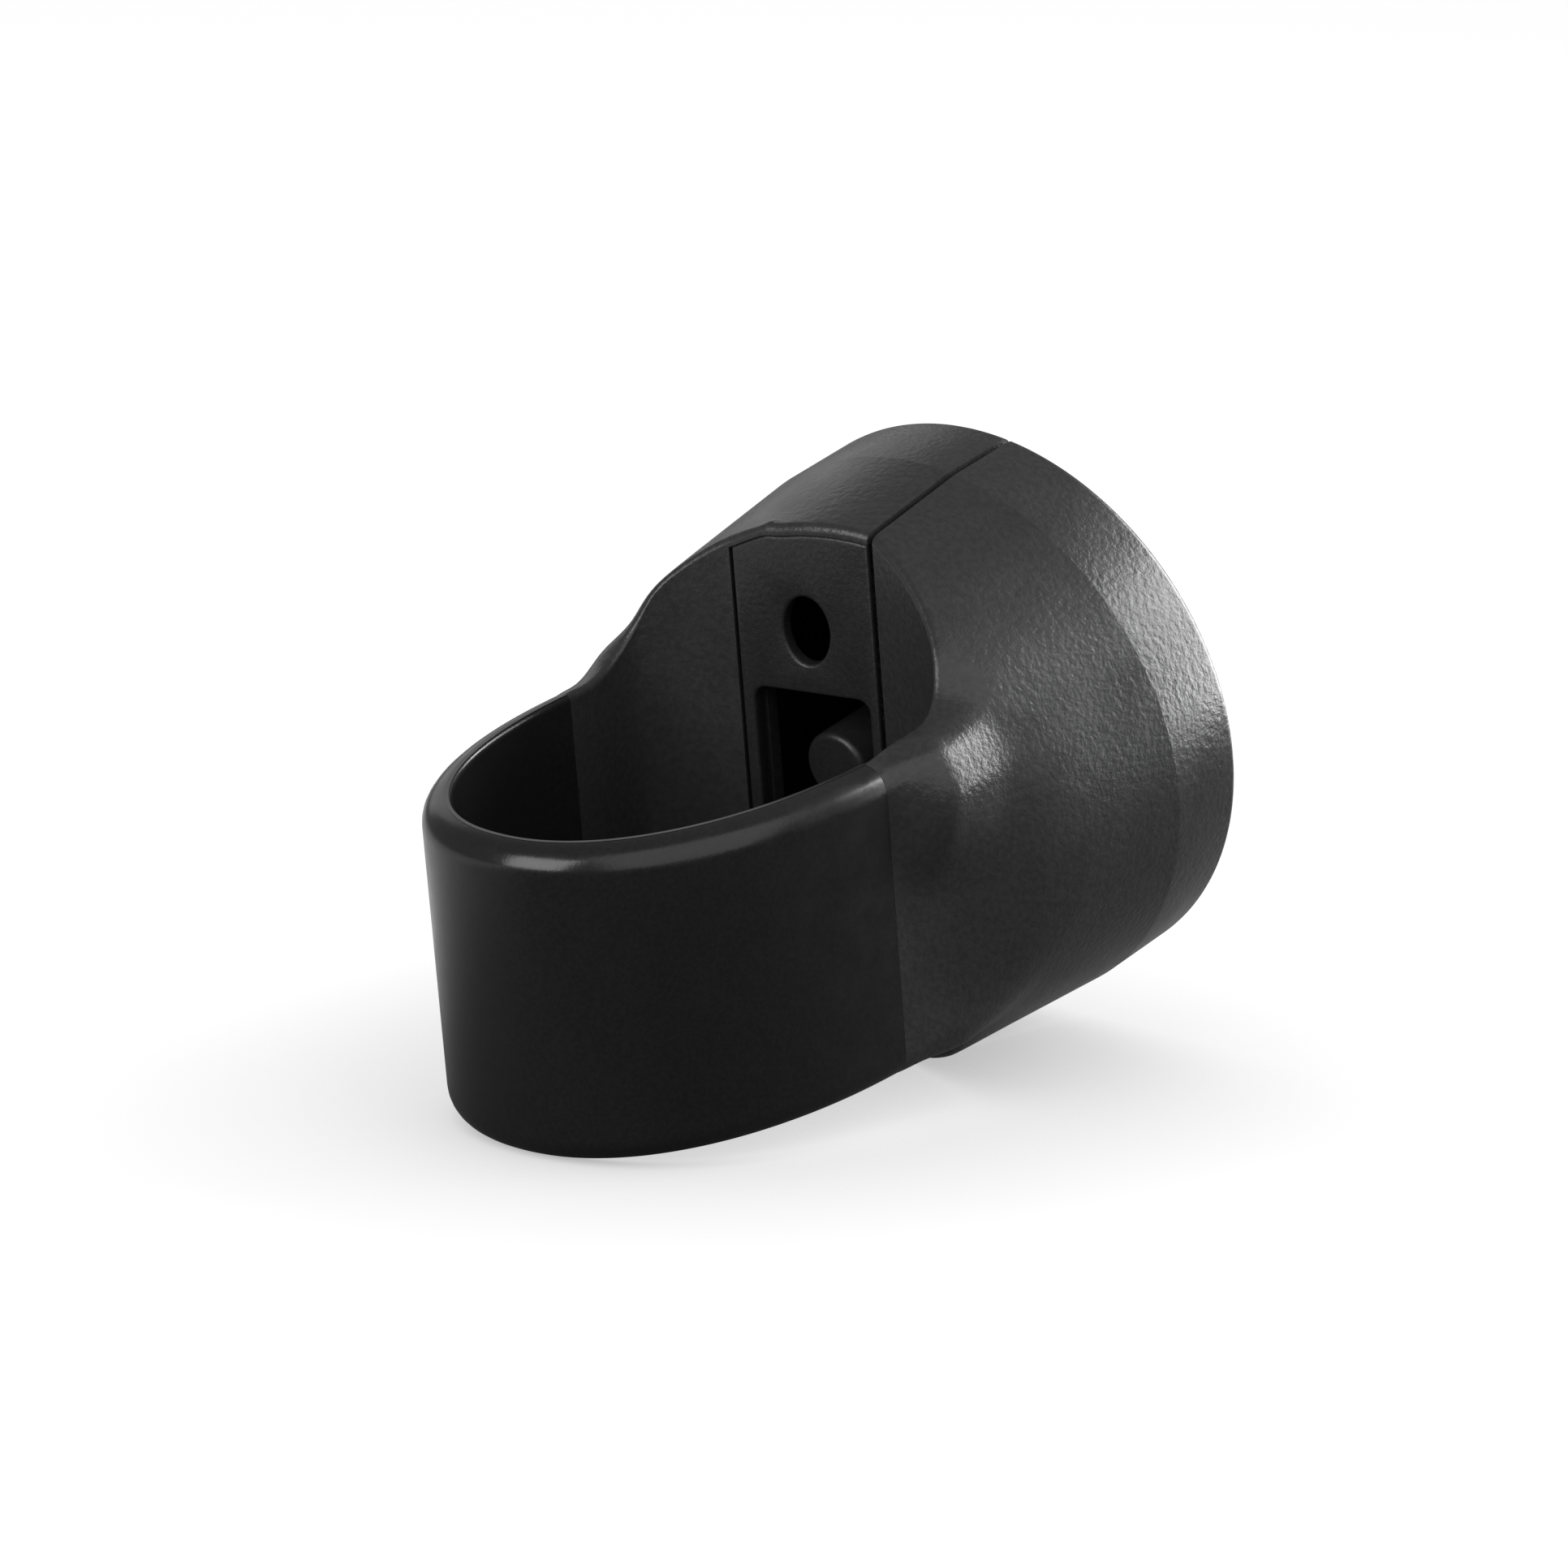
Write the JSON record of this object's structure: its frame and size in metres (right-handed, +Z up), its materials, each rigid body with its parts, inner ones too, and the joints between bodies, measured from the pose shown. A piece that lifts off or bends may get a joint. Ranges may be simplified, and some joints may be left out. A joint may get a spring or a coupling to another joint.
{
  "type": "castanets",
  "caption": "Black finger castanets: hollow round cups parted by an open seam, with flared arms that run into a springy finger loop, and a flat inner wall with an oval hole and a window.",
  "frame": {"origin": "middle of the bottom of the box round the castanets, as they lie on a table on the loop's far end and the cups", "axes": "+X from the finger loop to the cups, +Y to the left cup, +Z up"},
  "size_m": [0.0494, 0.034, 0.0361],
  "materials": {
    "cup_plastic": "fine grain",
    "strap_rubber": "smooth satin",
    "wall_plastic": "fine grain",
    "post_plastic": "satin"
  },
  "bodies": {
    "left_cup": {"left_shell": "cup_plastic", "finger_strap": "strap_rubber", "inner_wall": "wall_plastic", "wall_post": "post_plastic"},
    "right_cup": {"right_shell": "cup_plastic"}
  },
  "joints": [
    {"name": "clap", "type": "hinge", "parent": "left_cup", "child": "right_cup", "pos_m": [-0.01716, 0, 0.01], "axis": [0.1794, 0, -0.9838], "range_deg": [0, 12], "stiffness_Nm_per_rad": 0.02, "deforming": ["finger_strap"]}
  ]
}
